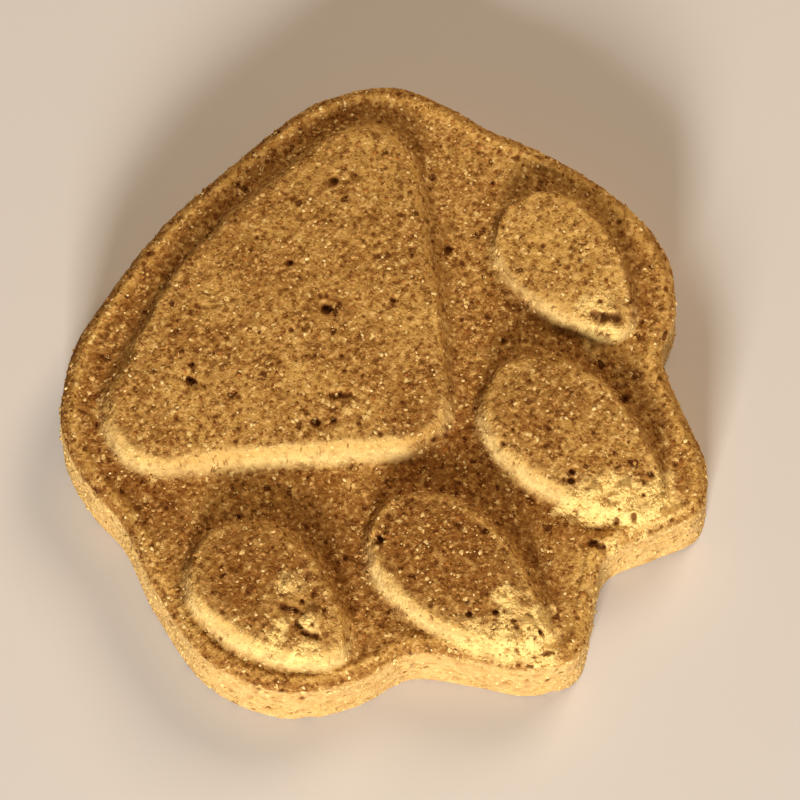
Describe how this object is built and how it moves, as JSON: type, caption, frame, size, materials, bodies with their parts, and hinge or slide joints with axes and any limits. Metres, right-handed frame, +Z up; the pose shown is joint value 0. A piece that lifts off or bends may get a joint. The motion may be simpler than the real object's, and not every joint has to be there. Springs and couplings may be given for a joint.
{
  "type": "paw print dog biscuit",
  "caption": "Baked dog biscuit in the shape of a paw print: a thick slab with a raised heel pad and raised toes on its top, to be held, piled or laid in a bowl.",
  "frame": {"origin": "middle of the flat underside, under the middle of the biscuit's box", "axes": "+Z up through the thickness, +Y towards the toes, +X towards the right toe when the print is seen from above with its toes up"},
  "size_m": [0.0578, 0.0548, 0.0109],
  "materials": {
    "crust": "matte baked crust, golden brown, fine open crumb with bran flecks and dark pores"
  },
  "bodies": {
    "root": {"biscuit": "crust"}
  },
  "joints": []
}
